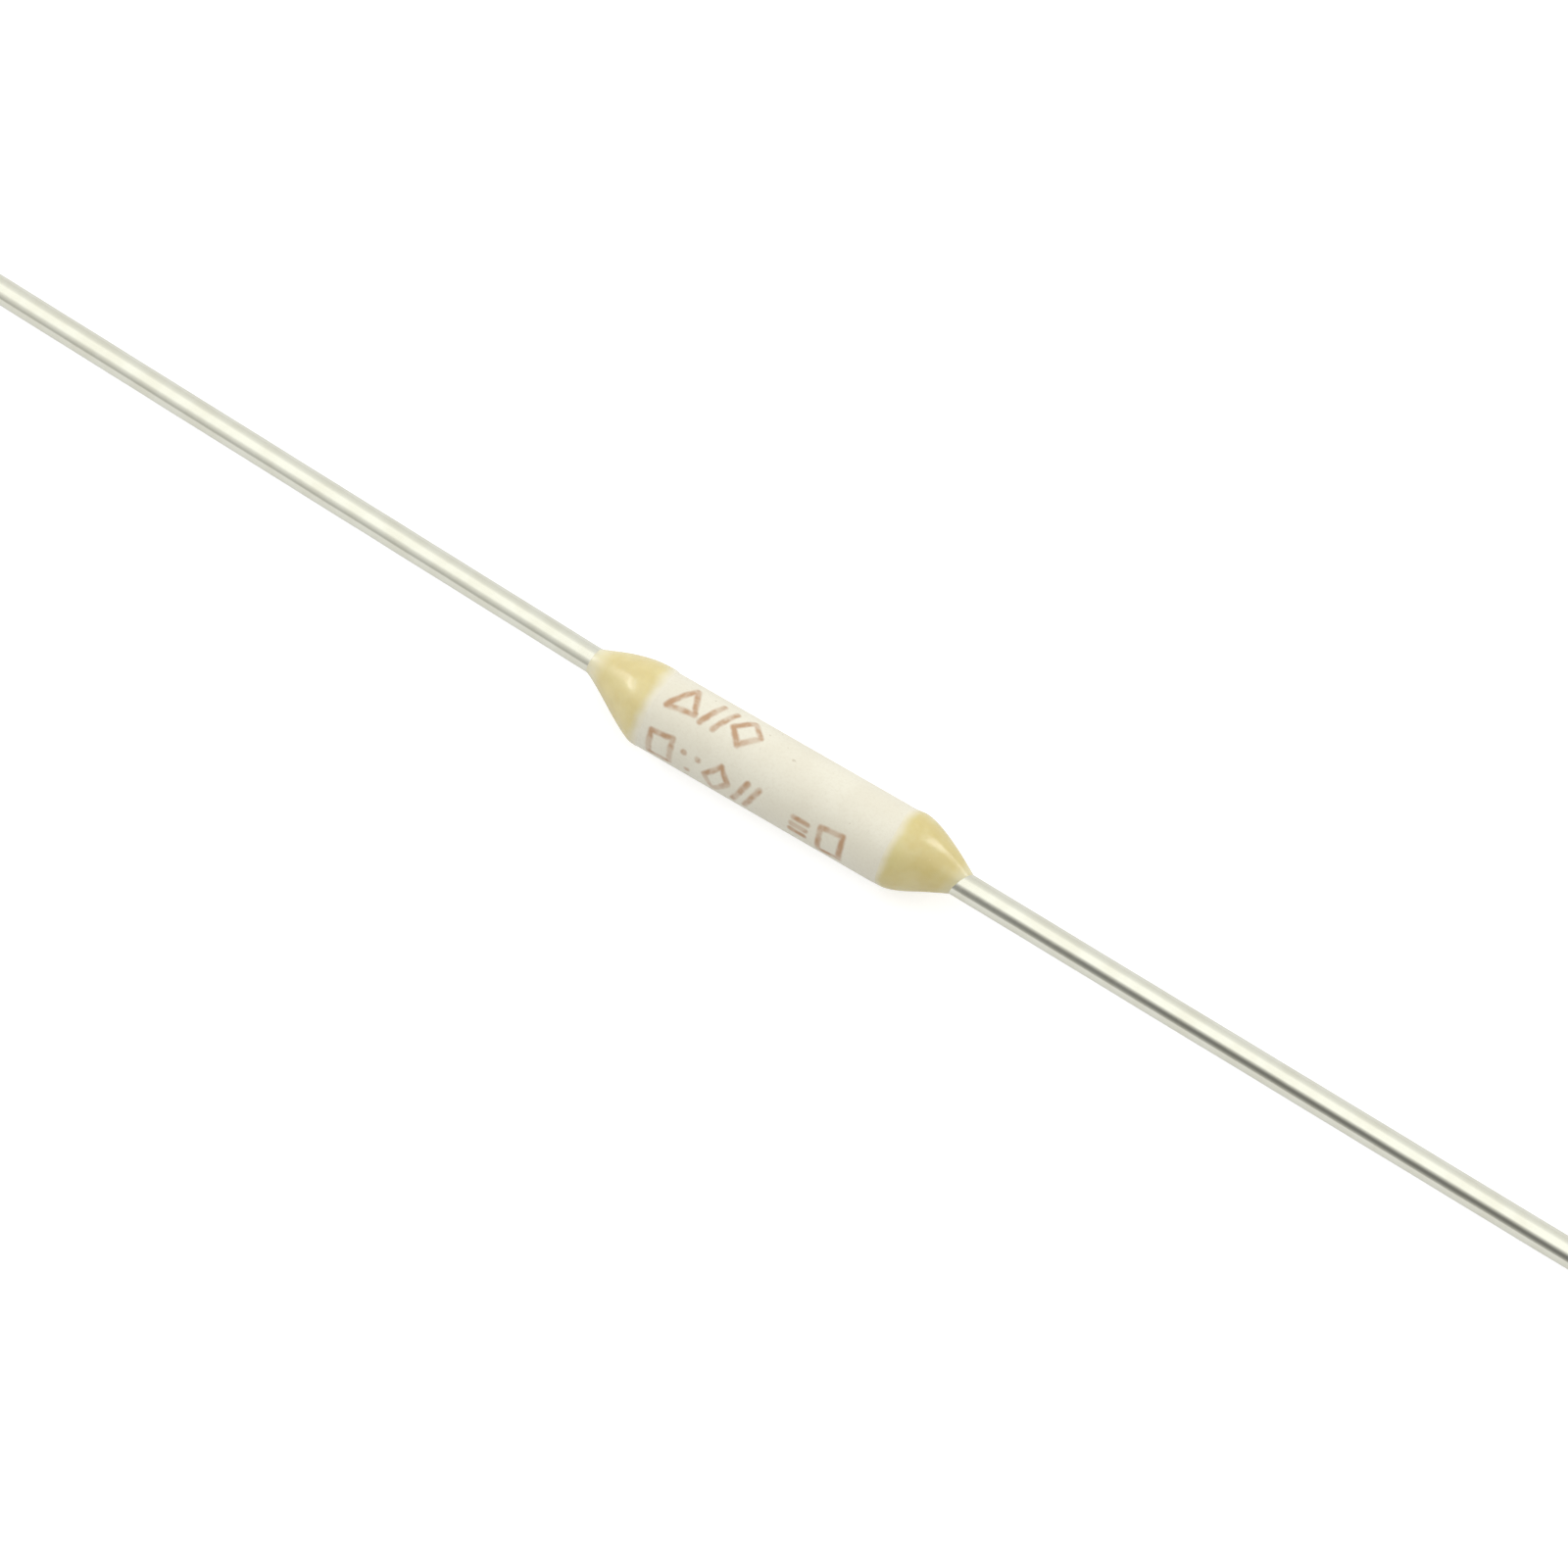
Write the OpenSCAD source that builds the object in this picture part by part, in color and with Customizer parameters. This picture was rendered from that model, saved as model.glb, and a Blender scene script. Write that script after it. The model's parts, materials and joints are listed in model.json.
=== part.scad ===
// Axial thermal fuse of the fusible-alloy type. A short rod of low-melting alloy joins two
// tinned copper leads inside a ceramic tube. A resin flux coats the alloy, and a drop of
// epoxy closes each end of the tube. X runs along the tube, whose centre is the origin.

/* [Ceramic case] */
// Length of the ceramic tube
case_l = 11; // [10:0.5:20]
// Outer diameter of the ceramic tube
case_d = 3; // [2.7:0.1:4]
// Wall of the ceramic tube
case_wall = 0.45; // [0.4:0.05:0.6]
// Rounding of the tube's outer rims
case_edge = 0.3; // [0.1:0.02:0.32]
// Rounding of the tube's bore at each end
bore_edge = 0.06; // [0.02:0.01:0.08]

/* [Leads] */
// Diameter of the lead wire
lead_d = 1; // [0.6:0.05:1.2]
// Length of each lead from the tip of its seal to its cut end
lead_free = 35; // [10:1:80]
// Width of the edge broken at a lead's cut end
lead_cut = 0.06; // [0.02:0.01:0.15]
// Angle by which each lead leaves its seal out of line with the link
lead_bend = 0.6; // [0.2:0.1:3]
// Way that the left lead bends, turned about the wire from the +Y side
bend_turn_left = 0; // [-180:5:180]
// Way that the right lead bends, turned about the wire from the -Y side
bend_turn_right = 120; // [-180:5:180]

/* [Fusible link] */
// Length of alloy between the ends of the two leads
alloy_l = 4.2; // [2:0.2:5]
// Thickness of the alloy collar that wets each lead
alloy_wall = 0.1; // [0.05:0.01:0.15]
// Length of that collar along the lead
alloy_lap = 0.3; // [0.1:0.05:0.6]
// Thickness of the flux round the alloy
flux_wall = 0.12; // [0.05:0.01:0.2]
// Length of flux past the alloy, over each lead
flux_lap = 0.7; // [0.3:0.05:0.9]
// Least air left between the flux and the tube's bore, towards which the link lies
flux_gap = 0.06; // [0.02:0.01:0.15]
// Angle between the link and the tube's axis
link_tilt = 1.5; // [0:0.1:2]

/* [Seals] */
// Depth to which each seal fills the tube's bore
plug_depth = 1.5; // [0.8:0.1:2]
// Thickness of the resin where it laps on to the tube
seal_film = 0.04; // [0.03:0.01:0.06]
// Length by which the left seal laps past the tube's rounded rim
left_lap = 0.06; // [0.05:0.01:1]
// Reach of the left seal past the tube on its +Y side
left_reach_back = 2.6; // [1.2:0.05:3.5]
// Reach of the left seal past the tube on its -Y side
left_reach_front = 2.7; // [1.2:0.05:3.5]
// Fullness of the left drop on its +Y side, 1 for a straight cone
left_fullness_back = 2.3; // [1:0.05:3]
// Fullness of the left drop on its -Y side
left_fullness_front = 1.3; // [1:0.05:3]
// How slowly the left drop runs out along its lead
left_taper = 1.35; // [1:0.05:2]
// Length by which the right seal laps past the tube's rounded rim
right_lap = 0.3; // [0.05:0.01:1]
// Reach of the right seal past the tube on its +Y side
right_reach_back = 2.3; // [1.2:0.05:3.5]
// Reach of the right seal past the tube on its -Y side
right_reach_front = 1.9; // [1.2:0.05:3.5]
// Fullness of the right drop on its +Y side
right_fullness_back = 1.5; // [1:0.05:3]
// Fullness of the right drop on its -Y side
right_fullness_front = 1.05; // [1:0.05:3]
// How slowly the right drop runs out along its lead
right_taper = 1.1; // [1:0.05:2]

/* [Hidden] */
$fn = 96;

case_r = case_d / 2;
bore_r = case_r - case_wall;
rim_x = case_l / 2 - case_edge;
lead_r = lead_d / 2;
alloy_r = lead_r + alloy_wall;
alloy_half = alloy_l / 2 + alloy_lap;
flux_half = alloy_half + flux_lap;
flux_r = alloy_r + flux_wall;
// the link lies off the tube's axis towards +Y, and stands nearest the bore at the flux's end
link_offset = bore_r - flux_r - flux_gap - flux_half * tan(link_tilt);
flux_power = 4;
left_reach = max(left_reach_back, left_reach_front);
right_reach = max(right_reach_back, right_reach_front);

arc_steps = 8;
flux_steps = 24;
drop_sides = 40;
drop_rings = 14;
// depths by which a seal's blank starts inside the wall and the wire before it is cut to them
wall_bite = case_wall / 2;
wire_bite = lead_r / 10;
// amount by which the wire swells where it is bent
bend_swell = lead_r / 50;

function arc(x, y, r, from, to) =
    [for (i = [0:arc_steps]) let (a = from + (to - from) * i / arc_steps)
        [x + r * cos(a), y + r * sin(a)]];

// Outline of the tube's wall, as radius and place along the tube
function case_outline() = concat(
    arc(case_r - case_edge, rim_x, case_edge, 0, 90),
    arc(bore_r + bore_edge, case_l / 2 - bore_edge, bore_edge, 90, 180),
    arc(bore_r + bore_edge, bore_edge - case_l / 2, bore_edge, 180, 270),
    arc(case_r - case_edge, -rim_x, case_edge, 270, 360)
);

// Rounded outside of the alloy from its -X collar to its +X collar
function alloy_side() = concat(
    arc(lead_r, alloy_wall - alloy_half, alloy_wall, -90, 0),
    arc(lead_r, alloy_half - alloy_wall, alloy_wall, 0, 90)
);

function alloy_outline() = concat(
    alloy_side(),
    [[lead_r, alloy_l / 2], [0, alloy_l / 2], [0, -alloy_l / 2], [lead_r, -alloy_l / 2]]
);

// Cigar of flux: a superellipse outside, the alloy and the leads inside
function flux_outline() = concat(
    [for (i = [0:flux_steps]) let (t = -cos(180 * i / flux_steps))
        [lead_r + (flux_r - lead_r) * sqrt(1 - pow(abs(t), flux_power)), flux_half * t]],
    [for (i = [len(alloy_side()) - 1:-1:0]) alloy_side()[i]]
);

// Distance of the link's axis from the tube's axis, towards +Y, at a place along X
function link_y(x) = link_offset - x * tan(link_tilt);

// Share of the tube's radius left in a drop at u, from 0 at the tube's rim to 1 at its tip
function drop_share(u, fullness, taper) = pow(1 - pow(u, fullness), taper);

// One point of a drop's skin, at the angle a round the wire from +Y. side is 1 or -1.
function drop_point(u, a, side, reach, fullness, taper) =
    let (
        back = (1 + cos(a)) / 2,
        length = case_edge + reach[1] + (reach[0] - reach[1]) * back,
        full = fullness[1] + (fullness[0] - fullness[1]) * back,
        share = drop_share(u, full, taper),
        x = side * (rim_x + length * u),
        inner = lead_r - wire_bite,
        r = inner + (case_r + seal_film - inner) * share
    )
    [x, link_y(x) * (1 - share) + r * cos(a), r * sin(a)];

// One point of the film on the tube, at the distance d inside the rim and the radius r
function film_point(d, r, a, side) = [side * (rim_x - d), r * cos(a), r * sin(a)];

module along_x() {
    rotate([0, 90, 0]) children();
}

module on_link() {
    translate([0, link_offset, 0]) rotate([0, 0, -link_tilt]) children();
}

module ceramic_case() {
    color("#e6e2d0") along_x() rotate_extrude() polygon(case_outline());
}

module fusible_alloy() {
    color("#b4b6b8") on_link() along_x() rotate_extrude() polygon(alloy_outline());
}

module flux() {
    color("#c9974a") on_link() along_x() rotate_extrude() polygon(flux_outline());
}

// Skin of a seal lofted from the film on the tube to the wire at the drop's tip, ring by ring
module drop_blank(side, lap, reach, fullness, taper) {
    sides = [for (j = [0:drop_sides - 1]) 360 * j / drop_sides];
    film = [
        [for (a = sides) film_point(lap, case_r - wall_bite, a, side)],
        [for (a = sides) film_point(lap, case_r + seal_film / 2, a, side)],
        [for (a = sides) film_point(lap - seal_film, case_r + seal_film, a, side)]
    ];
    drop = [for (i = [0:drop_rings]) let (u = i / drop_rings)
        [for (a = sides) drop_point(u, a, side, reach, fullness, taper)]];
    rings = concat(film, drop);
    last = len(rings) - 1;
    skin = [for (i = [0:last - 1], j = [0:drop_sides - 1]) let (k = (j + 1) % drop_sides)
        [i * drop_sides + j, i * drop_sides + k, (i + 1) * drop_sides + k, (i + 1) * drop_sides + j]];
    caps = [
        [for (j = [drop_sides - 1:-1:0]) j],
        [for (j = [0:drop_sides - 1]) last * drop_sides + j]
    ];
    faces = concat(skin, caps);
    polyhedron(
        points = [for (ring = rings) each ring],
        faces = side > 0 ? [for (f = faces) [for (i = [len(f) - 1:-1:0]) f[i]]] : faces
    );
}

// Epoxy that plugs the bore, wets the tube's end and runs out along the wire in a drop
module seal(side, lap, reach, fullness, taper) {
    difference() {
        union() {
            drop_blank(side, lap, reach, fullness, taper);
            translate([side * (case_l / 2 - plug_depth), 0, 0])
                rotate([0, side * 90, 0])
                    cylinder(r = bore_r + wall_bite, h = plug_depth - bore_edge);
        }
        ceramic_case();
        on_link() along_x() cylinder(r = lead_r, h = 2 * case_l, center = true);
    }
}

module seal_left() {
    color("#dbce9a") seal(
        -1, left_lap, [left_reach_back, left_reach_front],
        [left_fullness_back, left_fullness_front], left_taper
    );
}

module seal_right() {
    color("#cebe82") seal(
        1, right_lap, [right_reach_back, right_reach_front],
        [right_fullness_back, right_fullness_front], right_taper
    );
}

// Wire of length l from the origin along +X, with its edge broken at the cut end
module cut_wire(l) {
    along_x() rotate_extrude()
        polygon([[0, 0], [lead_r, 0], [lead_r, l - lead_cut], [lead_r - lead_cut, l], [0, l]]);
}

// Lead along +X: straight through its seal, then out of line by a small bend at the drop's tip
module lead(reach, turn) {
    mouth = case_l / 2 + reach;
    rotate([turn, 0, 0]) {
        translate([alloy_l / 2, 0, 0]) along_x() cylinder(r = lead_r, h = mouth - alloy_l / 2);
        translate([mouth, 0, 0]) {
            along_x() sphere(r = lead_r + bend_swell);
            rotate([0, 0, lead_bend]) cut_wire(lead_free);
        }
    }
}

module lead_left() {
    color("#c8c8c4") on_link() mirror([1, 0, 0]) lead(left_reach, bend_turn_left);
}

module lead_right() {
    color("#c8c8c4") on_link() rotate([180, 0, 0]) lead(right_reach, bend_turn_right);
}

ceramic_case();
fusible_alloy();
flux();
seal_left();
seal_right();
lead_left();
lead_right();
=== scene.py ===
"""Looks of the axial thermal fuse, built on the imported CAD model: a ceramic tube with printed
marks, a drop of epoxy at each end and two tinned leads, on a white table in a studio."""

import json
import math

import bpy
from mathutils import Matrix, Quaternion, Vector, noise


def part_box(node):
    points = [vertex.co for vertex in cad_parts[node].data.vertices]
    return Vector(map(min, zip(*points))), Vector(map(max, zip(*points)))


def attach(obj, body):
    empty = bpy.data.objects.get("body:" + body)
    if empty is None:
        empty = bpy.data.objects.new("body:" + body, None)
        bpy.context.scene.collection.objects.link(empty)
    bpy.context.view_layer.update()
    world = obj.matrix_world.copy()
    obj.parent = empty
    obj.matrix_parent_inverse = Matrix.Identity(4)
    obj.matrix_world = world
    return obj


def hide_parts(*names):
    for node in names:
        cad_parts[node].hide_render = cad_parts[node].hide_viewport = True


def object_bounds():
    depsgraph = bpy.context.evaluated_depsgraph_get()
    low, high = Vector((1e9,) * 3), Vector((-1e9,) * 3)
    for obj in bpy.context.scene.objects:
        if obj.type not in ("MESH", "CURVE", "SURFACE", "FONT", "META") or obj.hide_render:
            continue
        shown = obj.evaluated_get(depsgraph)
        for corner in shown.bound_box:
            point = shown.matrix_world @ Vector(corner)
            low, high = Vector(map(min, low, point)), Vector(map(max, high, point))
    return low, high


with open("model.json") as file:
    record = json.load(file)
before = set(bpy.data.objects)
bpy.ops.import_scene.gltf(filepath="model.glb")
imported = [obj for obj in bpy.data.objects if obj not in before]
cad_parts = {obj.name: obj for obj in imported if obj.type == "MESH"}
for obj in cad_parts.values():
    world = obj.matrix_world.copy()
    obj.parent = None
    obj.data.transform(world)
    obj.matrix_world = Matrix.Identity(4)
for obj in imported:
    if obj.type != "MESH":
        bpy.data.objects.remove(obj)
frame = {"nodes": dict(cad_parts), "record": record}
cad_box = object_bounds()
mounts = {mount["name"]: mount for mount in frame["record"]["mounts"]}

MM = 0.001

# ---- sizes in mm, as in the part's source ---------------------------------------------------
CASE_R = mounts["case"]["dims"]["r_mm"]
CASE_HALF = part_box("ceramic_case")[1].x / MM
CASE_WALL = 0.45
CASE_EDGE = 0.3
BORE_EDGE = 0.06
LEAD_R = mounts["lead_left_end"]["dims"]["r_mm"]
LEAD_FREE = mounts["lead_left_end"]["dims"]["length_mm"]
LEAD_CUT = 0.06
ALLOY_HALF = 2.1
PLUG_DEPTH = 1.5
SEAL_FILM = 0.04
WIRE_BITE = LEAD_R / 10
RIM_X = CASE_HALF - CASE_EDGE
BORE_R = CASE_R - CASE_WALL

# reach and fullness are those on the +Y side and on the -Y side. drawn is for looks alone: the depth
# by which the skin is drawn in at the tube's rim on the -Y side, and the length over which it is
SEALS = {
    "left": dict(side=-1, lap=0.06, reach=(2.6, 2.7), fullness=(2.3, 1.3), taper=1.35, drawn=(0.03, 0.26)),
    "right": dict(side=1, lap=0.3, reach=(2.3, 1.9), fullness=(1.5, 1.05), taper=1.1, drawn=(0.085, 0.7)),
}


def tip_and_axis(side):
    """A lead's cut end and the way it points, in mm."""
    mount = mounts[f"lead_{side}_end"]
    return Vector(mount["pos_m"]) / MM, Vector(mount["axis"]).normalized()


def mouth(side):
    """Where a lead leaves its seal, in mm."""
    tip, axis = tip_and_axis(side)
    return tip - axis * LEAD_FREE


MOUTHS = {side: mouth(side) for side in SEALS}
LINK_AXIS = (MOUTHS["right"] - MOUTHS["left"]).normalized()


def on_link(x):
    """Point of the link's axis at a place along X, in mm."""
    start = MOUTHS["left"]
    return start + LINK_AXIS * ((x - start.x) / LINK_AXIS.x)


# ---- meshes ---------------------------------------------------------------------------------
AROUND = 160
CORNER_STEPS = 12


def angles(count):
    """Even turns round a ring."""
    return [math.tau * i / count for i in range(count)]


def outward(mesh):
    """Turns the faces outward if the mesh came out inside out."""
    volume = 0.0
    for face in mesh.polygons:
        corners = [mesh.vertices[v].co for v in face.vertices]
        for i in range(1, len(corners) - 1):
            volume += corners[0].dot(corners[i].cross(corners[i + 1]))
    if volume < 0:
        mesh.flip_normals()
    return mesh


def in_scene(thing):
    """Puts an object into the scene."""
    bpy.context.scene.collection.objects.link(thing)
    return thing


def ring_piece(name, rings, closed=False, sharp=35.0):
    """A smooth piece of rings of points in mm, joined ring to ring. An open one gets end caps."""
    count = len(rings[0])
    points = [point * MM for ring in rings for point in ring]
    faces = []
    for i in range(len(rings) if closed else len(rings) - 1):
        near = i * count
        far = (i + 1) % len(rings) * count
        for j in range(count):
            k = (j + 1) % count
            faces.append((near + j, near + k, far + k, far + j))
    if not closed:
        for ring, turn in ((0, -1), (len(rings) - 1, 1)):
            middle = len(points)
            points.append(sum(rings[ring], Vector()) / count * MM)
            for j in range(count):
                pair = (ring * count + j, ring * count + (j + 1) % count)
                faces.append((*pair[::turn], middle))
    mesh = bpy.data.meshes.new(name)
    mesh.from_pydata(points, [], faces)
    mesh.update()
    mesh.shade_smooth()
    mesh.set_sharp_from_angle(angle=math.radians(sharp))
    return in_scene(bpy.data.objects.new(name, outward(mesh)))


def arc(x, r, radius, start, end, steps=CORNER_STEPS, stretch=1.0):
    """Points (x, r) of a rounded corner, angles from +X towards larger r, stretched along X."""
    turns = [math.radians(start + (end - start) * i / steps) for i in range(steps + 1)]
    return [(x + radius * stretch * math.cos(t), r + radius * math.sin(t)) for t in turns]


def spread(start, end, steps):
    """Values between two ends, both ends left out."""
    return [start + (end - start) * i / steps for i in range(1, steps)]


def lathe_ring(x, r, count=AROUND):
    """Ring of points round the tube's axis."""
    return [Vector((x, r * math.cos(a), r * math.sin(a))) for a in angles(count)]


# the tube's mesh is fine enough to carry the print
CASE_AROUND = 236
CASE_STEPS = 260
BORE_STEPS = 6
# length of the tube's rounding under the right seal, whose skin is drawn in over it
RIGHT_RIM = 1.0


def case_piece():
    """The tube, turned from the outline of its wall."""
    right_start = CASE_HALF - RIGHT_RIM
    right_rim = arc(right_start, CASE_R - CASE_EDGE, CASE_EDGE, 90, 0, stretch=RIGHT_RIM / CASE_EDGE)
    right_bore = arc(CASE_HALF - BORE_EDGE, BORE_R + BORE_EDGE, BORE_EDGE, 360, 270, BORE_STEPS)
    left_bore = arc(BORE_EDGE - CASE_HALF, BORE_R + BORE_EDGE, BORE_EDGE, 270, 180, BORE_STEPS)
    left_rim = arc(-RIM_X, CASE_R - CASE_EDGE, CASE_EDGE, 180, 90)
    outside = [(x, CASE_R) for x in spread(-RIM_X, right_start, CASE_STEPS)]
    outline = right_rim + right_bore + left_bore + left_rim + outside
    rings = [lathe_ring(x, r, CASE_AROUND) for x, r in outline]
    return ring_piece("ceramic_tube", rings, closed=True)


SEAL_RINGS = 72
# how much closer a drop's rings stand towards the tube, 1 for even spacing
RING_CROWDING = 1.15
FILM_RINGS = 10
# height and width of a drop's unevenness, and width of that of its film's edge
SEAL_LUMP = 0.022
LUMP_SIZE = 0.9
EDGE_LUMP_SIZE = 0.7
LUMP_R = 1.3
# length by which the film thins out to nothing past its lap, and the share of it that varies
FEATHER = 0.2
FEATHER_RAGGED = 0.3
# depths by which rings that meet another piece lie under its skin, and inside the tube's end
SUNK = 0.006
END_SUNK = 0.01
# shifts in the noise that make each drop and each edge uneven in its own way
DROP_SEED = 3.7
EDGE_SEED = 9


def lump(x, a, size, seed):
    """Smooth unevenness of a hand-made surface, from -1 to 1."""
    across = math.cos(a) * LUMP_R / size
    up = math.sin(a) * LUMP_R / size
    return noise.noise(Vector((x / size, across, up + seed)))


def drawn_in(place, a, depth, length):
    """How far a seal's skin is drawn in on its -Y side, place being the distance from the rim."""
    return depth * (1 - math.cos(a)) / 2 * max(1 - place / length, 0.0) ** 2


def drop_point(u, a, side, reach, fullness, taper, drawn, seed):
    """One point of a drop's skin: u runs from the tube's rim to the tip, a round from +Y."""
    back = (1 + math.cos(a)) / 2
    length = CASE_EDGE + reach[1] + (reach[0] - reach[1]) * back
    full = fullness[1] + (fullness[0] - fullness[1]) * back
    share = (1 - u ** full) ** taper
    x = side * (RIM_X + length * u)
    inner = LEAD_R - WIRE_BITE
    uneven = SEAL_LUMP * lump(x, a, LUMP_SIZE, seed) * 4 * u * (1 - u)
    r = inner + (CASE_R + SEAL_FILM - inner + uneven) * share - drawn_in(length * u, a, *drawn)
    centre = on_link(x).y
    return Vector((x, centre * (1 - share) + r * math.cos(a), r * math.sin(a)))


def wire_ring(x):
    """Ring just under the wire's skin where it passes through a seal."""
    centre = on_link(x)
    r = LEAD_R - SUNK
    return [centre + Vector((0, r * math.cos(a), r * math.sin(a))) for a in angles(AROUND)]


def film_ring(step, side, lap, drawn, seed):
    """Ring of the film on the tube: step runs from the rim, where it is full, to its thin edge."""
    r = CASE_R - SUNK + (SEAL_FILM + SUNK) * (1 - step ** 2 * (3 - 2 * step))
    ring = []
    for a in angles(AROUND):
        length = lap + FEATHER * (1 + FEATHER_RAGGED * lump(0.0, a, EDGE_LUMP_SIZE, seed + EDGE_SEED))
        radius = r - drawn_in(length * step, a, *drawn)
        ring.append(Vector((side * (RIM_X - length * step), radius * math.cos(a), radius * math.sin(a))))
    return ring


def seal_piece(name, side, lap, reach, fullness, taper, drawn):
    """A seal: its drop, the film that laps on to the tube, and the plug inside the bore."""
    seed = DROP_SEED * side
    drop = [
        [drop_point(u, a, side, reach, fullness, taper, drawn, seed) for a in angles(AROUND)]
        for u in [1 - (1 - i / SEAL_RINGS) ** RING_CROWDING for i in range(SEAL_RINGS, -1, -1)]
    ]
    film = [film_ring(i / FILM_RINGS, side, lap, drawn, seed) for i in range(1, FILM_RINGS + 1)]
    inside = [
        lathe_ring(side * RIM_X, CASE_R - SUNK - drawn[0]),
        lathe_ring(side * (CASE_HALF - END_SUNK), CASE_R - CASE_EDGE),
        lathe_ring(side * (CASE_HALF - END_SUNK), BORE_R + BORE_EDGE),
        lathe_ring(side * (CASE_HALF - BORE_EDGE), BORE_R),
        lathe_ring(side * (CASE_HALF - PLUG_DEPTH), BORE_R),
        wire_ring(side * (CASE_HALF - PLUG_DEPTH)),
        wire_ring(side * (CASE_HALF + min(reach) / 2)),
    ]
    return ring_piece(name, drop + film + inside, closed=True, sharp=60)


LEAD_AROUND = 96
LEAD_STEP = 0.4
# height of the wire's waviness, its width along the wire, and the length over which it sets in
LEAD_WOBBLE = 0.006
WOBBLE_LENGTH = 1.7
WOBBLE_R = 0.7
WOBBLE_FADE = 3
# place and depth of the ring that rounds the broken edge, as shares of the cut
CUT_ALONG = 0.35
CUT_IN = 0.45


def lead_rings(side):
    """Centres and radii along a lead: straight through its seal, its small bend, then the cut."""
    tip, axis = tip_and_axis(side)
    start = on_link(-ALLOY_HALF if side == "left" else ALLOY_HALF)
    bend = MOUTHS[side]
    into = (bend - start).normalized()
    inner = [start + into * (i * LEAD_STEP) for i in range(int((bend - start).length / LEAD_STEP))]
    free = [bend + axis * (i * LEAD_STEP) for i in range(int((LEAD_FREE - LEAD_CUT) / LEAD_STEP) + 1)]
    stations = [(centre, LEAD_R) for centre in inner + free]
    stations.append((tip - axis * LEAD_CUT, LEAD_R))
    stations.append((tip - axis * LEAD_CUT * CUT_ALONG, LEAD_R - LEAD_CUT * CUT_IN))
    stations.append((tip, LEAD_R - LEAD_CUT))
    return stations


def lead_piece(name, side):
    """A lead's wire, slightly wavy outside its seal."""
    axis = tip_and_axis(side)[1]
    across = Vector((0, 1, 0))
    rings = []
    for centre, r in lead_rings(side):
        fade = min(max((centre - MOUTHS[side]).dot(axis) / WOBBLE_FADE, 0.0), 1.0)
        ring = []
        for a in angles(LEAD_AROUND):
            place = Vector((centre.x / WOBBLE_LENGTH, math.cos(a) * WOBBLE_R, math.sin(a) * WOBBLE_R))
            radius = r + LEAD_WOBBLE * noise.noise(place) * fade
            ring.append(centre + across * (radius * math.cos(a)) + Vector((0, 0, radius * math.sin(a))))
        rings.append(ring)
    return ring_piece(name, rings, sharp=30)


# ---- helpers for materials ------------------------------------------------------------------
class Shader:
    """A node tree that is built from short calls; sockets and plain numbers both plug in."""

    def __init__(self, owner):
        owner.use_nodes = True
        self.tree = owner.node_tree
        self.tree.nodes.clear()

    def add(self, kind, **settings):
        made = self.tree.nodes.new(kind)
        for key, value in settings.items():
            setattr(made, key, value)
        return made

    def plug(self, value, socket):
        if isinstance(value, bpy.types.NodeSocket):
            self.tree.links.new(value, socket)
        elif value is not None:
            socket.default_value = value

    def math(self, operation, *values, clamp=False):
        made = self.add("ShaderNodeMath", operation=operation, use_clamp=clamp)
        for value, socket in zip(values, made.inputs):
            self.plug(value, socket)
        return made.outputs[0]

    def vector(self, operation, *values, scale=None):
        made = self.add("ShaderNodeVectorMath", operation=operation)
        for value, socket in zip(values, made.inputs):
            self.plug(value, socket)
        if scale is not None:
            self.plug(scale, made.inputs["Scale"])
        return made.outputs["Vector"]

    def split(self, vector):
        made = self.add("ShaderNodeSeparateXYZ")
        self.plug(vector, made.inputs[0])
        return made.outputs

    def noise(self, vector, scale, detail=2.0, roughness=0.5):
        made = self.add("ShaderNodeTexNoise")
        self.plug(vector, made.inputs["Vector"])
        made.inputs["Scale"].default_value = scale
        made.inputs["Detail"].default_value = detail
        made.inputs["Roughness"].default_value = roughness
        return made.outputs["Fac"]

    def ease(self, value, low, high, start=0.0, end=1.0):
        """start below low, end above high, with a smooth step between them."""
        made = self.add("ShaderNodeMapRange", interpolation_type="SMOOTHSTEP")
        for number, socket in zip((value, low, high, start, end), made.inputs):
            self.plug(number, socket)
        return made.outputs[0]

    def mix(self, share, first, second):
        made = self.add("ShaderNodeMix", data_type="RGBA")
        self.plug(share, made.inputs["Factor"])
        self.plug(first, made.inputs[6])
        self.plug(second, made.inputs[7])
        return made.outputs[2]

    def bump(self, height, distance, below=None):
        made = self.add("ShaderNodeBump")
        made.inputs["Distance"].default_value = distance
        self.plug(height, made.inputs["Height"])
        self.plug(below, made.inputs["Normal"])
        return made.outputs[0]

    def blend(self, kind, *values):
        """A node that joins shaders, such as ShaderNodeMixShader."""
        made = self.add(kind)
        for value, socket in zip(values, made.inputs):
            self.plug(value, socket)
        return made.outputs[0]

    def light(self, kind, color, strength=None):
        """A source of light, ShaderNodeEmission or ShaderNodeBackground."""
        made = self.add(kind)
        made.inputs["Color"].default_value = color
        self.plug(strength, made.inputs["Strength"])
        return made.outputs[0]

    def millimetres(self):
        """Place on the object in mm."""
        here = self.add("ShaderNodeTexCoord").outputs["Object"]
        return self.vector("SCALE", here, scale=1 / MM)


def material(name):
    """A new material with one principled shader, and the builder for its nodes."""
    made = bpy.data.materials.new(name)
    shader = Shader(made)
    surface = shader.add("ShaderNodeBsdfPrincipled")
    shader.plug(surface.outputs[0], shader.add("ShaderNodeOutputMaterial").inputs["Surface"])
    return made, shader, surface.inputs


def rgb(red, green, blue):
    """A colour given as it shows on screen, 0 to 255, as linear light."""
    def linear(level):
        level /= 255
        return level / 12.92 if level <= 0.04045 else ((level + 0.055) / 1.055) ** 2.4
    return (linear(red), linear(green), linear(blue), 1.0)


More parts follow.
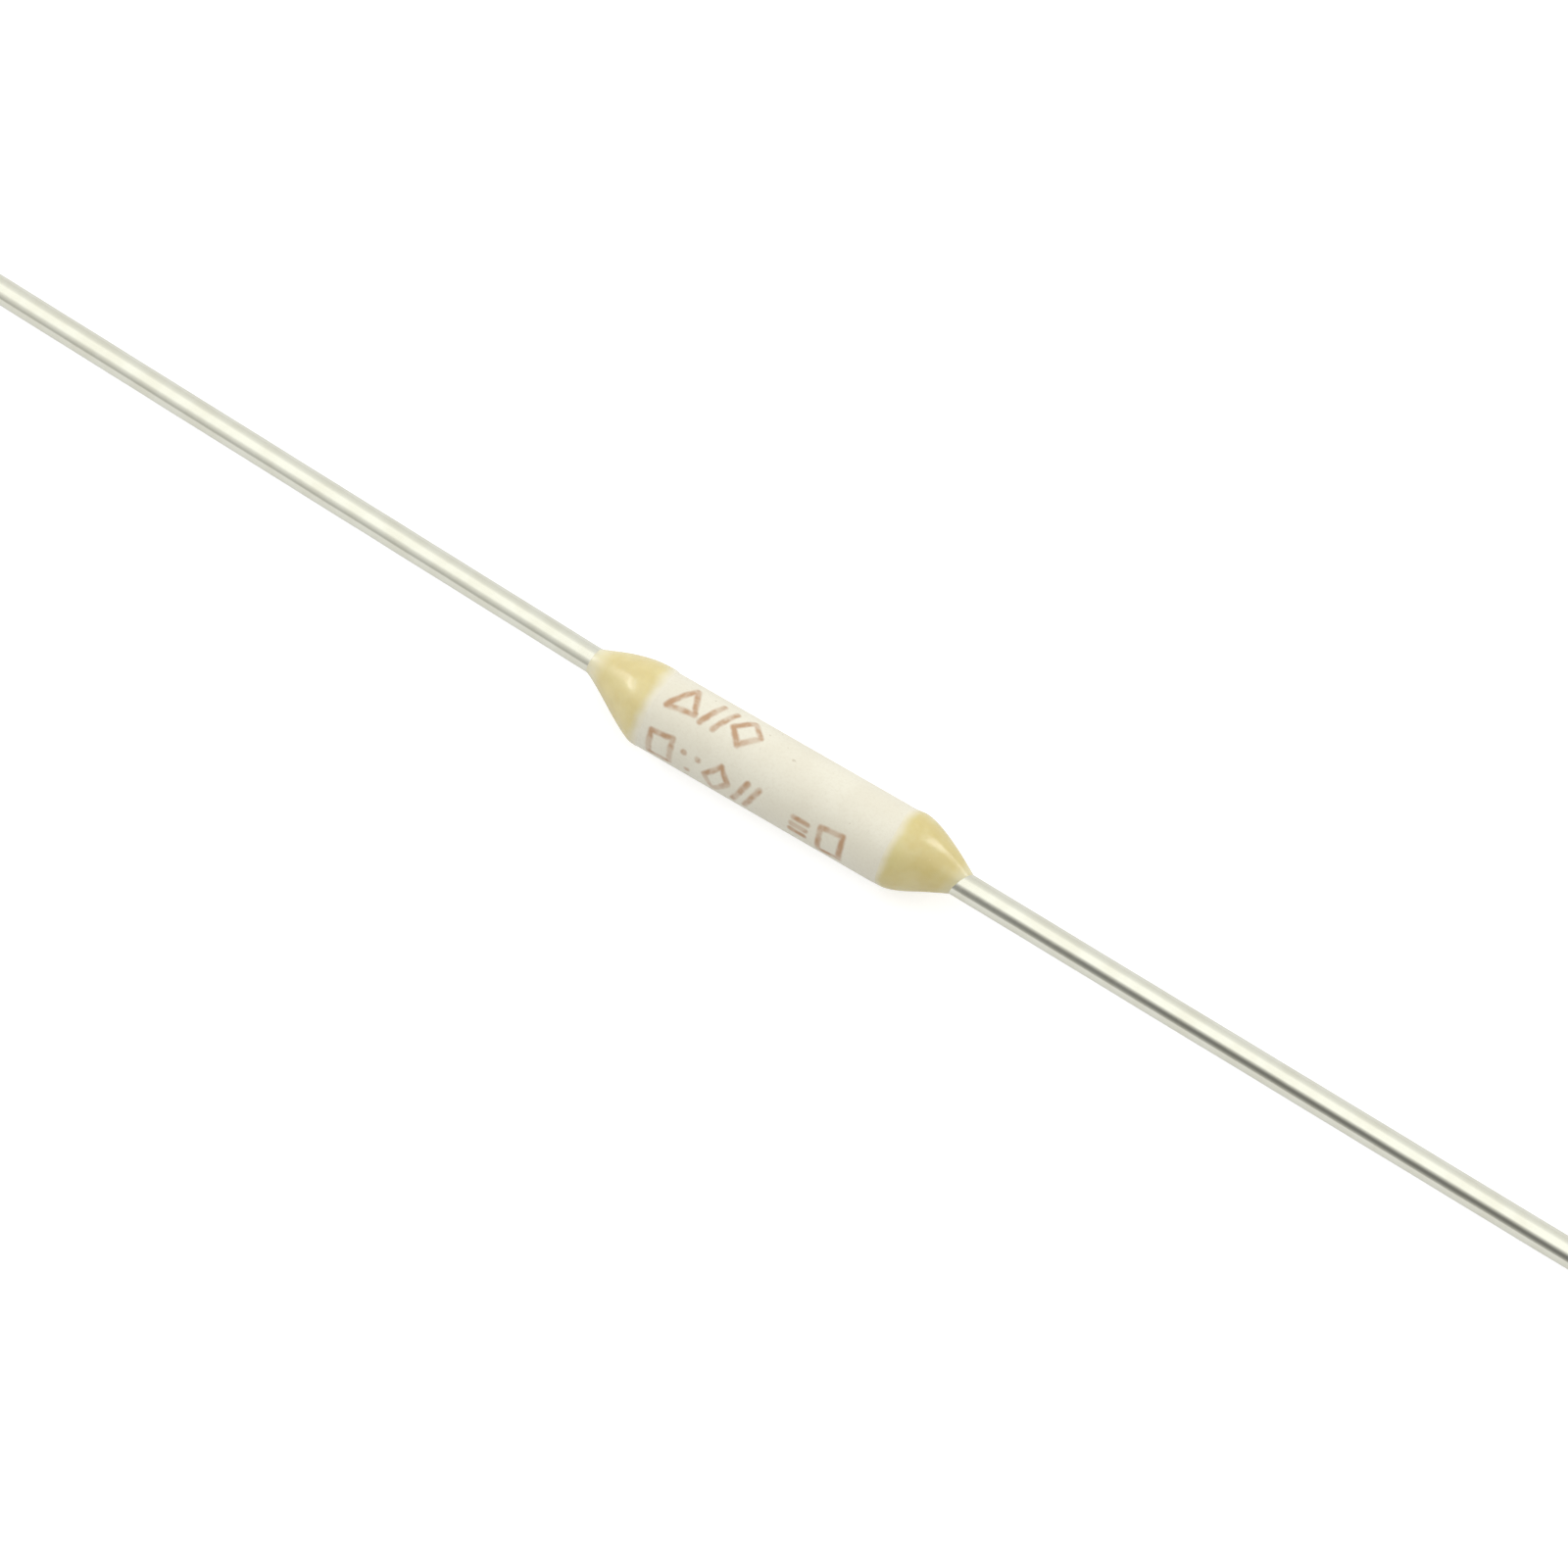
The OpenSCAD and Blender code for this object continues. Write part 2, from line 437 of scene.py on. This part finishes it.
# ---- printed marks on the tube --------------------------------------------------------------
# turn of the print's middle from the top of the tube towards -Y, and half the height round it
# that the print may take
PRINT_LEAN = math.radians(18.1)
PRINT_HALF = 2.4
# half the width of a stroke, and how far that wanders in all
STROKE = 0.105
STROKE_WANDER = 0.08
NO_INK = 1.0
UPPER_ROW = dict(y=-1.5, width=1.05, height=1.2)
LOWER_ROW = dict(y=0.66, width=0.95, height=1.2)


def loop(*corners):
    """Strokes of a closed outline through these corners."""
    return [(corners[i], corners[(i + 1) % len(corners)]) for i in range(len(corners))]


# shapes drawn in a unit square
TRIANGLE = loop((0.0, 1.0), (0.62, 0.0), (1.0, 0.85))
TWIN_BARS = [((0.1, 0.95), (0.5, 0.05)), ((0.6, 0.95), (1.0, 0.05))]
RHOMBUS = loop((0.0, 0.55), (0.55, 0.0), (1.0, 0.45), (0.45, 1.0))
SQUARE = loop((0.0, 0.08), (0.9, 0.0), (1.0, 0.92), (0.1, 1.0))
DOTS = [((x, y), (x + 0.02, y)) for x, y in ((0.2, 0.2), (0.8, 0.2), (0.5, 0.8))]
BLOCK = [((0.2, y), (0.8, y)) for y in (0.25, 0.5, 0.75)]


def placed(strokes, x, y, width, height):
    """Strokes of a shape moved to their place on the unrolled tube in mm."""
    return [
        tuple((x + px * width, y + py * height) for px, py in stroke)
        for stroke in strokes
    ]


def marks():
    """All strokes of the print, as (x, arc) pairs in mm from the middle of the tube."""
    upper = [(TRIANGLE, -4.55), (TWIN_BARS, -3.3), (RHOMBUS, -2.1)]
    lower = [(SQUARE, -4.6), (DOTS, -3.4), (RHOMBUS, -2.25), (TWIN_BARS, -1.1)]
    lower += [(BLOCK, 1.15), (SQUARE, 2.4)]
    drawn = []
    for row, shapes in ((UPPER_ROW, upper), (LOWER_ROW, lower)):
        for strokes, x in shapes:
            drawn += placed(strokes, x, **row)
    return drawn


def stroke_gap(place, strokes):
    """Distance in mm from a place on the unrolled tube to the nearest stroke."""
    nearest = NO_INK
    for start, end in strokes:
        along = (end[0] - start[0], end[1] - start[1])
        offset = (place[0] - start[0], place[1] - start[1])
        dot = offset[0] * along[0] + offset[1] * along[1]
        share = min(max(dot / (along[0] ** 2 + along[1] ** 2), 0.0), 1.0)
        gap = math.hypot(offset[0] - share * along[0], offset[1] - share * along[1])
        nearest = min(nearest, gap)
    return nearest


def print_on(piece):
    """Keeps the distance to the nearest printed stroke on every vertex of the tube."""
    strokes = marks()
    gaps = []
    for vertex in piece.data.vertices:
        x, y, z = vertex.co / MM
        arc_length = (math.atan2(-y, z) - PRINT_LEAN) * CASE_R
        printed = abs(arc_length) < PRINT_HALF and math.hypot(y, z) > CASE_R - CASE_EDGE / 2
        gaps.append(stroke_gap((x, arc_length), strokes) if printed else NO_INK)
    kept = piece.data.attributes.new("stroke_gap", "FLOAT", "POINT")
    kept.data.foreach_set("value", gaps)
    return piece


def ink_share(shader, here):
    """How much ink lies at a place on the tube, 0 to 1, with soft uneven edges."""
    gap = shader.add("ShaderNodeAttribute", attribute_name="stroke_gap").outputs["Fac"]
    ragged = shader.noise(here, 3.2, 3.0)
    width = shader.math("MULTIPLY_ADD", ragged, STROKE_WANDER, STROKE - STROKE_WANDER / 2)
    cover = shader.ease(shader.math("SUBTRACT", gap, width), -0.06, 0.07, 1.0, 0.0)
    density = shader.ease(shader.noise(here, 1.9, 2.0), 0.36, 0.64, 0.4, 0.82)
    return shader.math("MULTIPLY", cover, density)


# ---- materials ------------------------------------------------------------------------------
def ceramic_material():
    """Off-white fired ceramic with fine grain, a few specks and the print."""
    made, shader, surface = material("glazed_ceramic")
    here = shader.millimetres()
    grain = shader.noise(here, 9.0, 4.0, 0.6)
    cloud = shader.noise(here, 0.6, 2.0)
    tone = shader.mix(shader.ease(cloud, 0.35, 0.65), rgb(235, 231, 214), rgb(231, 226, 208))
    tone = shader.mix(shader.ease(grain, 0.42, 0.72, 0.0, 0.35), tone, rgb(221, 214, 194))
    speck = shader.ease(shader.noise(here, 4.5, 1.0), 0.76, 0.80, 0.0, 0.35)
    tone = shader.mix(speck, tone, rgb(176, 160, 134))
    ink = ink_share(shader, here)
    shader.plug(shader.mix(ink, tone, rgb(180, 130, 83)), surface["Base Color"])
    shader.plug(shader.math("MULTIPLY_ADD", grain, 0.16, 0.38), surface["Roughness"])
    surface["IOR"].default_value = 1.5
    fine = shader.bump(shader.noise(here, 26.0, 3.0), 0.0025 * MM)
    low = shader.bump(grain, 0.004 * MM, below=fine)
    shader.plug(shader.bump(ink, 0.003 * MM, below=low), surface["Normal"])
    return made


# The tones are those of the body, of its deeper patches and of its thin tip. film gives the two
# distances from the tube's middle between which the resin fades on the tube, and thin the depth
# of resin over the wire below which it pales.
RESINS = {
    "left": dict(
        tones=(rgb(223, 209, 152), rgb(218, 202, 143), rgb(234, 228, 200)), film=(4.95, 5.5), thin=0.4
    ),
    "right": dict(
        tones=(rgb(221, 207, 148), rgb(217, 200, 136), rgb(228, 219, 182)), film=(4.6, 5.15), thin=0.26
    ),
}
# the thinnest film shows the ceramic under it, a little clearer than bare
FILM_BASE = rgb(239, 233, 213)


def off_link(shader, parts, x):
    """Distance in mm from the link's axis as it stands at the place x, in shader nodes."""
    across = shader.math("POWER", shader.math("SUBTRACT", parts[1], on_link(x).y), 2.0)
    up = shader.math("POWER", parts[2], 2.0)
    return shader.math("SQRT", shader.math("ADD", across, up))


def epoxy_material(name, side, tones, film, thin):
    """Cast resin: a mottled body that pales where it runs out thin over the wire and the tube."""
    made, shader, surface = material(name)
    here = shader.millimetres()
    parts = shader.split(here)
    body_tone, deep_tone, tip_tone = tones
    mottle = shader.noise(here, 1.3, 3.0)
    tone = shader.mix(shader.ease(mottle, 0.36, 0.66), body_tone, deep_tone)
    depth = off_link(shader, parts, side * CASE_HALF)
    tone = shader.mix(shader.ease(depth, LEAD_R, LEAD_R + thin, 0.75, 0.0), tone, tip_tone)
    ragged = shader.math("MULTIPLY_ADD", shader.noise(here, 1.6, 2.0), 0.3, -0.15)
    body = shader.ease(shader.math("MULTIPLY_ADD", parts[0], side, ragged), *film)
    shader.plug(shader.mix(body, FILM_BASE, tone), surface["Base Color"])
    shader.plug(shader.math("MULTIPLY_ADD", mottle, 0.16, 0.16), surface["Roughness"])
    surface["IOR"].default_value = 1.54
    shader.plug(shader.math("MULTIPLY", body, 0.2), surface["Subsurface Weight"])
    surface["Subsurface Radius"].default_value = (1.0, 0.8, 0.4)
    surface["Subsurface Scale"].default_value = 0.25 * MM
    surface["Coat Weight"].default_value = 0.25
    surface["Coat Roughness"].default_value = 0.25
    low = shader.bump(shader.noise(here, 1.8, 2.0), 0.02 * MM)
    shader.plug(shader.bump(shader.noise(here, 14.0, 3.0), 0.0016 * MM, below=low), surface["Normal"])
    return made


def tin_material():
    """Bright tin on drawn wire: faint lines along it, soft dents and patches."""
    made, shader, surface = material("bright_tin")
    here = shader.millimetres()
    drawn = shader.vector("MULTIPLY", here, (0.35, 1.0, 1.0))
    line = shader.noise(drawn, 14.0, 3.0, 0.6)
    patch = shader.noise(here, 1.1, 3.0)
    tone = shader.mix(shader.ease(patch, 0.35, 0.7), rgb(240, 240, 226), rgb(235, 234, 218))
    shader.plug(tone, surface["Base Color"])
    surface["Metallic"].default_value = 1.0
    shader.plug(shader.math("MULTIPLY_ADD", patch, 0.1, 0.05), surface["Roughness"])
    dents = shader.bump(shader.noise(here, 1.6, 2.0), 0.004 * MM)
    shader.plug(shader.bump(line, 0.0004 * MM, below=dents), surface["Normal"])
    return made


def alloy_material():
    """Grainy low-melting metal, inside the tube."""
    made, shader, surface = material("fusible_metal")
    here = shader.millimetres()
    grain = shader.noise(here, 7.0, 4.0)
    tone = shader.mix(grain, rgb(196, 198, 202), rgb(168, 170, 176))
    shader.plug(tone, surface["Base Color"])
    surface["Metallic"].default_value = 1.0
    shader.plug(shader.math("MULTIPLY_ADD", grain, 0.3, 0.25), surface["Roughness"])
    shader.plug(shader.bump(grain, 0.006 * MM), surface["Normal"])
    return made


def flux_material():
    """Cloudy amber resin, inside the tube."""
    made, shader, surface = material("amber_flux")
    here = shader.millimetres()
    cloud = shader.noise(here, 1.8, 3.0)
    shader.plug(shader.mix(cloud, rgb(214, 160, 84), rgb(186, 122, 48)), surface["Base Color"])
    shader.plug(shader.math("MULTIPLY_ADD", cloud, 0.14, 0.14), surface["Roughness"])
    surface["IOR"].default_value = 1.52
    surface["Subsurface Weight"].default_value = 0.35
    surface["Subsurface Scale"].default_value = 0.3 * MM
    shader.plug(shader.bump(cloud, 0.012 * MM), surface["Normal"])
    return made


def dress(piece, look, slot_name, *nodes):
    """Gives a piece its material, and puts it in the place of CAD nodes."""
    piece.data.materials.clear()
    piece.data.materials.append(look)
    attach(piece, "root")
    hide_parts(*nodes)


tin = tin_material()
dress(print_on(case_piece()), ceramic_material(), "ceramic", "ceramic_case")
for side in SEALS:
    dress(lead_piece(f"tinned_lead_{side}", side), tin, "tinned_wire", f"lead_{side}")
for side, sizes in SEALS.items():
    resin = epoxy_material(f"epoxy_{side}", sizes["side"], **RESINS[side])
    dress(seal_piece(f"epoxy_drop_{side}", **sizes), resin, "epoxy", f"seal_{side}")
for node, look in (("fusible_alloy", alloy_material()), ("flux", flux_material())):
    for place in frame["nodes"][node].material_slots:
        place.material = look

# ---- floor ----------------------------------------------------------------------------------
FLOOR_HALF = 1.2
FLOOR_TONE = (0.615, 0.615, 0.625, 1.0)
# the floor's own glow, which keeps it white, with what is added for the camera and for gloss
GLOW = 0.27
GLOW_SEEN = 0.33
GLOW_REFLECTED = -0.1
WHITE = (1.0, 1.0, 1.0, 1.0)


def table_material():
    """Matt white that glows a little, and shows the shadow."""
    made = bpy.data.materials.new("white_table")
    table = Shader(made)
    matt = table.add("ShaderNodeBsdfDiffuse")
    matt.inputs["Color"].default_value = FLOOR_TONE
    ray = table.add("ShaderNodeLightPath").outputs
    level = table.math("MULTIPLY_ADD", ray["Is Camera Ray"], GLOW_SEEN, GLOW)
    level = table.math("MULTIPLY_ADD", ray["Is Glossy Ray"], GLOW_REFLECTED, level)
    glow = table.light("ShaderNodeEmission", WHITE, level)
    both = table.blend("ShaderNodeAddShader", matt.outputs[0], glow)
    table.plug(both, table.add("ShaderNodeOutputMaterial").inputs["Surface"])
    return made


def floor_piece():
    """A square floor that the tube lies on."""
    mesh = bpy.data.meshes.new("floor")
    corners = ((-1, -1), (1, -1), (1, 1), (-1, 1))
    points = [(x * FLOOR_HALF, y * FLOOR_HALF, cad_box[0].z) for x, y in corners]
    mesh.from_pydata(points, [], [(0, 1, 2, 3)])
    mesh.materials.append(table_material())
    return in_scene(bpy.data.objects.new("floor", mesh))


floor_piece()

# ---- surroundings ---------------------------------------------------------------------------
# Levels of light at heights in degrees, from the front horizon over the top to the back one:
# a dim panel low in front, a bright ceiling and an even back.
SKY = (
    (0.0, 0.45), (10.0, 0.28), (18.0, 0.2), (32.0, 0.2), (42.0, 0.36), (52.0, 0.64), (61.0, 1.0),
    (68.0, 1.15), (112.0, 1.15), (122.0, 0.98), (138.0, 0.85), (160.0, 0.8), (180.0, 0.77),
)
SKY_TOP = 1.2
SKY_TONE = (1.0, 1.0, 0.985, 1.0)
# degrees by which the dim panel stands higher from the middle to the right
PANEL_RISE = 7.0
# level to which the front brightens towards the left
LEFT_TOP = 1.12
# what is added to the level at the back towards the right
RIGHT_SHADE = -0.3


def sky_level(sky):
    """Level of light in each direction, in the world's nodes."""
    toward = sky.split(sky.add("ShaderNodeTexCoord").outputs["Generated"])
    height = sky.math("ARCTAN2", toward[2], sky.math("MULTIPLY", toward[1], -1.0))
    height = sky.math("DIVIDE", height, math.pi, clamp=True)
    ramp = sky.add("ShaderNodeValToRGB")
    ramp.color_ramp.interpolation = "EASE"
    stops = ramp.color_ramp.elements
    while len(stops) < len(SKY):
        stops.new(0.5)
    for stop, (angle, level) in zip(stops, SKY):
        stop.position = angle / 180
        stop.color = (level / SKY_TOP, level / SKY_TOP, level / SKY_TOP, 1.0)
    raised = sky.math("MULTIPLY", sky.ease(toward[0], -0.25, -0.1), PANEL_RISE / 180)
    sky.plug(sky.math("SUBTRACT", height, raised), ramp.inputs[0])
    lit = sky.math("MULTIPLY", ramp.outputs[0], SKY_TOP)
    leftward = sky.ease(toward[0], -0.32, -0.08, 0.42, 0.0)
    leftward = sky.math("MULTIPLY", leftward, sky.ease(height, 0.35, 0.6, 1.0, 0.0))
    leftward = sky.math("MULTIPLY", leftward, sky.ease(height, 0.05, 0.2, 0.7, 1.25))
    lit = sky.math("MULTIPLY_ADD", leftward, sky.math("SUBTRACT", LEFT_TOP, lit), lit)
    rightward = sky.ease(toward[0], 0.15, 0.5)
    rightward = sky.math("MULTIPLY", rightward, sky.ease(height, 0.6, 0.75))
    return sky.math("MULTIPLY_ADD", rightward, RIGHT_SHADE, lit)


def studio_world():
    """Soft light from all round, and plain white where the camera looks past the floor."""
    made = bpy.data.worlds.new("studio")
    sky = Shader(made)
    around = sky.light("ShaderNodeBackground", SKY_TONE, sky_level(sky))
    plain = sky.light("ShaderNodeBackground", WHITE)
    direct = sky.add("ShaderNodeLightPath").outputs["Is Camera Ray"]
    choice = sky.blend("ShaderNodeMixShader", direct, around, plain)
    sky.plug(choice, sky.add("ShaderNodeOutputWorld").inputs["Surface"])
    return made


BOX_DISTANCE = 400.0


def softbox(name, direction, size, power):
    """A lamp at a direction from the tube, facing it, size mm along the tube and across it."""
    lamp = bpy.data.lights.new(name, "AREA")
    lamp.shape = "RECTANGLE"
    lamp.size = size[0] * MM
    lamp.size_y = size[1] * MM
    lamp.energy = power
    way = Vector(direction).normalized()
    along = (Vector((1, 0, 0)) - way * way.x).normalized()
    holder = in_scene(bpy.data.objects.new(name, lamp))
    holder.location = way * BOX_DISTANCE * MM
    holder.rotation_mode = "QUATERNION"
    holder.rotation_quaternion = Matrix((along, way.cross(along), way)).transposed().to_quaternion()


bpy.context.scene.world = studio_world()
softbox("left_box", direction=(-0.82, 0.03, 0.57), size=(80.0, 180.0), power=0.24)
softbox("right_box", direction=(0.52, 0.69, 0.5), size=(60.0, 200.0), power=0.24)

# ---- camera ---------------------------------------------------------------------------------
# in degrees and mm; aside moves it in its own picture's plane
CAMERA_AZIMUTH = 31.8
CAMERA_ELEVATION = 69.0
CAMERA_ROLL = -0.12
CAMERA_DISTANCE = 150.0
CAMERA_LENS = 97.7
CAMERA_ASIDE = (0.17, -0.17, 0)


def camera_piece():
    """A camera that looks down on the tube as the photo does."""
    lens = bpy.data.cameras.new("camera")
    lens.lens = CAMERA_LENS
    lens.sensor_width = 36.0
    lens.clip_start = 5 * MM
    lens.clip_end = 5.0
    camera = in_scene(bpy.data.objects.new("camera", lens))
    azimuth = math.radians(CAMERA_AZIMUTH)
    elevation = math.radians(CAMERA_ELEVATION)
    back = Vector((
        math.sin(azimuth) * math.cos(elevation),
        -math.cos(azimuth) * math.cos(elevation),
        math.sin(elevation),
    ))
    facing = back.to_track_quat("Z", "Y") @ Quaternion((0, 0, 1), math.radians(CAMERA_ROLL))
    camera.rotation_mode = "QUATERNION"
    camera.rotation_quaternion = facing
    camera.location = (back * CAMERA_DISTANCE + facing @ Vector(CAMERA_ASIDE)) * MM
    return camera


bpy.context.scene.camera = camera_piece()
bpy.context.scene.view_settings.view_transform = "Standard"
